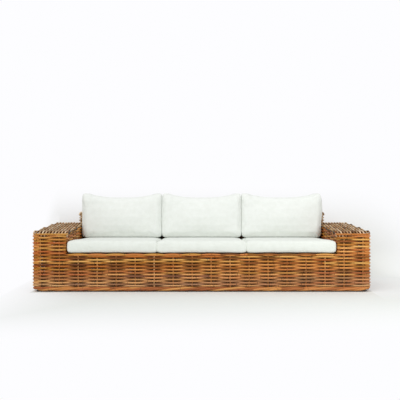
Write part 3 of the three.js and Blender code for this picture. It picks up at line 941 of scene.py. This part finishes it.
def legLoop(hand, low, high, z, turn):
    # a closed loop round a leg of the cap, with round corners
    loop = []
    for first, (x, y) in enumerate(((high.x - turn, high.y - turn), (low.x + turn, high.y - turn),
                                    (low.x + turn, low.y + turn), (high.x - turn, low.y + turn))):
        for k in range(5):
            a = pi / 2 * (first + k / 4)
            loop.append(Vector((hand * (x + turn * cos(a)), y + turn * sin(a), z)))
    return loop + [loop[0].copy()]


def weaveCap(settings):
    # strands along the top and both faces of the back's cap, and a leg of loops at either end
    low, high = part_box("back_cap_weave")
    radius, bend, thin = settings["radius"], settings["bend"], settings["legRadius"]
    half, top = high.x - radius, high.z - radius
    foot = top - bend - settings["hang"]
    shares = stakeShares(-half, half, settings["rodMargin"])
    strands = []
    for i in range(settings["strands"]):
        y = low.y + (i + 0.5) * (rearY - low.y) / settings["strands"]
        flip = -1 if i % 2 else 1
        stakes = [(-half + share * 2 * half, side * flip) for share, side in shares]
        stops = [(-half + bend, 1)] + stakes + [(half - bend, 1)]
        points = [Vector((-half, y, foot))]
        points += [Vector((x, y, z)) for x, z in overEdge(-half, top, bend, bend, 5)]
        points += [Vector((x, y, top - swing * (1 - way) / 2, way)) for x, way in passage(stops, 6, 1)]
        points += [Vector((x, y, z)) for x, z in overEdge(half, top, -bend, bend, 5)[-2::-1]]
        strands.append(points + [Vector((half, y, foot))])
    for y in (low.y + thin, rearY - thin):
        for row in (1, 2):
            z = top - row * settings["rowPitch"] - settings["rowUnder"]
            strands.append([Vector((x * (half - settings["rowEnd"]) / 12, y, z)) for x in range(-12, 13)])
    piece = strandPiece("backCap", strands, radius, rattanTop, 92)
    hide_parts("back_cap_weave")
    loops = []
    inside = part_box("back_face_weave")[1].x
    for hand in (-1, 1):
        z, order = low.z - thin, 0
        while z < foot + thin:
            back = thin + (settings["tooth"] if order % 2 else 0)
            near, far = Vector((inside + thin, low.y + back)), Vector((high.x - back, rearY - back))
            loops.append(legLoop(hand, near, far, z, settings["legTurn"]))
            z += settings["legPitch"]
            order += 1
    legs = strandPiece("backCapLegs", loops, thin, rattanTop, 94)
    z = top - swing * 0.5 - settings["rodGap"]
    reach = (low.y + settings["rodGap"], rearY - settings["rodGap"])
    rods = [[Vector((-half + share * 2 * half, y, z)) for y in reach] for share, side in shares]
    thinRod = weave["stakeRadius"] * settings["rodShare"]
    rodPiece = strandPiece("backCapRods", rods, thinRod, rattanTop, 93)


weaveCap(capSettings)

borderSettings = {
    "poles": 3,
    "poleShare": 0.56,  # of the border's radius
    "layShare": 0.46,
    "twist": 0.42,  # metres of border in one turn
    "steps": 420,
    "lift": 14 * mm,  # by which the border rises as it rounds a corner
    "liftFrom": 30 * mm,
}


def makeBorder(settings):
    # the foot border: three thick poles with a long lazy twist, bent round the corners
    low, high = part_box("front_border")
    middle, radius = (low.z + high.z) / 2, (high.z - low.z) / 2
    bend = weave["cornerRadius"] - radius
    route = wholeRound(radius, staked=False)
    total, lay, steps = route.lengths[-1], radius * settings["layShare"], settings["steps"]
    turns = round(total / settings["twist"])
    strands = []
    for k in range(settings["poles"]):
        points = []
        for i in range(steps + 1):
            place, out = route.at(total * i / steps)
            turn = tau * (turns * i / steps + k / settings["poles"])
            z = middle + lay * sin(turn)
            lift = settings["lift"]
            for past in (abs(place.x) - bendX, abs(place.y) - bendY):
                share = (past + settings["liftFrom"]) / (bend + settings["liftFrom"])
                lift *= min(1.0, max(0.0, share))
            points.append(Vector((*(place + out * (lay * cos(turn))), z + lift)))
        strands.append(points)
    thick = radius * settings["poleShare"]
    piece = strandPiece("footBorder", strands, thick, rattanBorder, 95, resolution=3)
    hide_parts("front_border", "back_border", "left_border", "right_border")


makeBorder(borderSettings)
say("cap and border")


# Frame poles, deck and glides keep their CAD shape and get their finish

finishes = {
    "glide_": glidePlastic,
    "bearer_": framePole,
    "_rail": framePole,
    "_post": framePole,
    "seat_deck": deckCane,
}
for name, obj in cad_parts.items():
    for mark, material in finishes.items():
        if name.startswith(mark) or name.endswith(mark):
            coat(obj.data, material)


# Cushions. Lengths in these settings are in millimetres.

stuffing = {
    "seat": {
        "smaller": 1.5, "voxel": 10, "pressure": 5, "slack": -0.03,
        "bulge": 5, "hollow": 3, "cap": 8,  # most that a free face stands out or in, and that it moves
        "over": ((3, 0, 9), (3, 0, -3)),  # by which it passes its box, on the low and the high sides
        "square": 5,
        "tilt": 2.4,  # degrees that the seat falls towards the back
    },
    "back": {
        "smaller": 2, "voxel": 9, "pressure": 4, "slack": -0.035,
        "bulge": 7, "hollow": 5, "cap": 10,
        "over": ((5, 0, 5), (5, 0, 1)),
        "square": 7,
        "tilt": 7.0,  # degrees that a back cushion leans
    },
    "touch": {"bulge": 0.2, "hollow": 1.5},  # where a cushion lies against something
    "touchSlope": 0.75,
    # side, and how far a back leans over the arm at the top and half way up
    "slump": {"left": (-1, 8, 0), "middle": (0, 0, 0), "right": (1, 4, 13)},
    "crest": ((10, 0.6, 0.22), (-5, 0.9, 0.08)),  # a back's top edge: rise, place from the middle, width
    "squareFrom": 0.7,
    "ripple": (14, 0.8),  # per metre, and its height
    "weld": 0.05,
    "frames": 20,
    "cloth": {"quality": 5, "mass": 0.25, "tension_stiffness": 12, "compression_stiffness": 12,
              "bending_stiffness": 0.35, "use_pressure": True},
    "seamRadius": 1.5,
    "seamPoints": 180,
    "seamIn": 10,
    "seamReach": (50, 250),  # where a seam's rays start: off the face, and out from the edge
}


def sewnLoops(kind, low, high):
    # The two sewn edges of a boxed cushion: places on a rounded rectangle, and the way out from each.
    # A seat's lie round its top and underside, a back's round its face and rear.
    middle, half = (low + high) / 2, (high - low) / 2
    tilt = radians(stuffing[kind]["tilt"])
    sine, cosine = sin(tilt), cos(tilt)
    across = Vector((1, 0, 0))
    along, off, length = (
        (Vector((0, cosine, -sine)), Vector((0, sine, cosine)), half.y) if kind == "seat" else
        (Vector((0, sine, cosine)), Vector((0, -cosine, sine)), half.z))
    within, count = stuffing["seamIn"] * mm, stuffing["seamPoints"]
    loops = []
    for side in (1, -1):
        loop = []
        for i in range(count):
            # a square turned to a squircle keeps the sewn edge near the corners
            x, y = cos(tau * i / count), sin(tau * i / count)
            x, y = x / max(abs(x), abs(y)), y / max(abs(x), abs(y))
            way = Vector((x ** 9, y ** 9)).normalized()
            place = middle + across * (x * (half.x - within)) + along * (y * (length - within))
            outward = (across * way.x + along * way.y + off * side).normalized()
            loop.append((place, outward, off * side))
        loops.append(loop)
    return loops


def surfaceOf(piece):
    return bvhtree.BVHTree.FromObject(piece, bpy.context.evaluated_depsgraph_get())


def applyModifiers(piece):
    mesh = settled(piece)
    piece.modifiers.clear()
    piece.data = mesh


def fillCover(piece, settings, seed):
    # The cloth swells from a smaller shape, slack enough to wrinkle at its seams. Gives its start.
    with editing(piece.data) as bm:
        bm.normal_update()
        for vert in bm.verts:
            vert.co -= vert.normal * settings["smaller"] * mm
    remesh = piece.modifiers.new("remesh", "REMESH")
    remesh.mode = "VOXEL"
    remesh.voxel_size = settings["voxel"] * mm
    applyModifiers(piece)
    often, height = stuffing["ripple"]
    for vert in piece.data.vertices:
        nudge = noise.noise_vector(vert.co * often + Vector((seed, 0, 0)))
        vert.co += nudge * height * mm
    start = [vert.co.copy() for vert in piece.data.vertices]
    cloth = piece.modifiers.new("cloth", "CLOTH")
    filling = {"uniform_pressure_force": settings["pressure"], "shrink_min": settings["slack"],
               "shrink_max": settings["slack"]}
    for key, value in {**stuffing["cloth"], **filling}.items():
        setattr(cloth.settings, key, value)
    cloth.settings.effector_weights.gravity = 0
    cloth.collision_settings.use_collision = False
    cloth.point_cache.frame_start, cloth.point_cache.frame_end = 1, stuffing["frames"]
    scene = bpy.context.scene
    for step in range(1, stuffing["frames"] + 1):
        scene.frame_set(step)
    applyModifiers(piece)
    scene.frame_set(1)
    return start


def keepToShell(mesh, start, shell, settings):
    # a cushion stays flat against what it touches and rounds out where it is free
    limit = settings["cap"] * mm
    slope = stuffing["touchSlope"]
    for vert, first in zip(mesh.vertices, start):
        moved = vert.co - first
        vert.co = first + moved * (limit * tanh(moved.length / limit) / max(moved.length, 1e-9))
        near, normal, index, far = shell.find_nearest(vert.co)
        outside = (vert.co - near).dot(normal)
        touching = abs(normal.x) > slope or normal.z < -slope or normal.y > slope
        play = stuffing["touch"] if touching else settings
        room, hollow = play["bulge"] * mm, play["hollow"] * mm
        if outside > room:
            vert.co -= normal * (outside - room)
        elif outside < 0:
            vert.co -= normal * (outside + hollow * (1 - exp(outside / hollow)))


def slumped(co, place, low, high):
    # a back's outer edge leans over the arm, and its top edge falls from the corners to the middle
    middle, half = (low + high) / 2, (high - low) / 2
    side, lean, belly = stuffing["slump"][place]
    out = max(0.0, (co.x - middle.x) * side / half.x)
    rise = min(1.0, max(0.0, (co.z - armTop(rearY)) / (high.z - armTop(rearY))))
    co.x += side * out * out * (lean * rise + belly * sin(pi * rise)) * mm
    across = abs(co.x - middle.x) / half.x
    up = max(0.0, (co.z - low.z) / half.z - 1)
    fill = sum(most * exp(-((across - at) / wide) ** 2) for most, at, wide in stuffing["crest"])
    co.z += up * up * fill * mm


def drawToSize(mesh, kind, place, low, high):
    # the filled cover comes out a little short, so it is drawn to size and keeps its corners
    settings = stuffing[kind]
    with editing(mesh) as bm:
        axes = {"use_axis_x": True, "use_axis_y": True, "use_axis_z": True}
        bmesh.ops.smooth_vert(bm, verts=bm.verts, factor=0.5, **axes)
        lows = Vector(min(vert.co[axis] for vert in bm.verts) for axis in range(3))
        highs = Vector(max(vert.co[axis] for vert in bm.verts) for axis in range(3))
        under, over = (Vector(amount) * mm for amount in settings["over"])
        middle, half = (low + high) / 2, (high - low) / 2
        outer, most = 1 if kind == "seat" else 2, settings["square"] * mm
        past = stuffing["squareFrom"]
        for vert in bm.verts:
            for axis in range(3):
                share = (vert.co[axis] - lows[axis]) / (highs[axis] - lows[axis])
                size = high[axis] - low[axis] + under[axis] + over[axis]
                vert.co[axis] = low[axis] - under[axis] + size * share
            way = vert.co - middle
            shares = [abs(way[axis]) / half[axis] for axis in (0, outer)]
            pull = most * min(max(0.0, amount - past) / (1 - past) for amount in shares)
            vert.co.x += copysign(pull, way.x)
            vert.co[outer] += copysign(pull, way[outer])
            if kind == "back":
                slumped(vert.co, place, low, high)


def makeCushion(name, kind, body, seed):
    place = name.split("_")[0]
    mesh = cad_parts[name].data.copy()
    with editing(mesh) as bm:
        bmesh.ops.remove_doubles(bm, verts=bm.verts, dist=stuffing["weld"] * mm)
        bmesh.ops.join_triangles(bm, faces=bm.faces, angle_face_threshold=0.7, angle_shape_threshold=0.7)
    piece = addObject(place + kind.capitalize() + "Cushion", mesh)
    shell = surfaceOf(piece)
    start = fillCover(piece, stuffing[kind], seed)
    keepToShell(piece.data, start, shell, stuffing[kind])
    drawToSize(piece.data, kind, place, *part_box(name))
    soft = piece.modifiers.new("soft", "SUBSURF")
    soft.levels = soft.render_levels = 1
    applyModifiers(piece)
    coat(piece.data, canvas[kind])
    piece.data.shade_smooth()
    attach(piece, body)
    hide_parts(name)
    sewSeams(piece, name, kind, body)


def sewSeams(piece, name, kind, body):
    # each sewn edge is a narrow raised seam that lies on the filled cover
    surface = surfaceOf(piece)
    away, out = (reach * mm for reach in stuffing["seamReach"])
    lines = []
    for loop in sewnLoops(kind, *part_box(name)):
        hits = [surface.ray_cast(place + off * away + outward * out, -outward)[0]
                for place, outward, off in loop]
        lines.append([(hit, 1) for hit in hits if hit])
    radius = stuffing["seamRadius"] * mm
    mesh = tubeMesh(piece.name + "Seam", lines, radius, closed=True)
    coat(mesh, canvas[kind])
    mesh.shade_smooth()
    seam = addObject(piece.name + "Seam", mesh)
    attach(seam, body)


for order, place in enumerate(("left", "middle", "right")):
    makeCushion(place + "_seat_cushion", "seat", place + "_seat", 3 + order)
    makeCushion(place + "_back_cushion", "back", place + "_rest", 7 + order)
say("cushions")

bpy.context.view_layer.update()
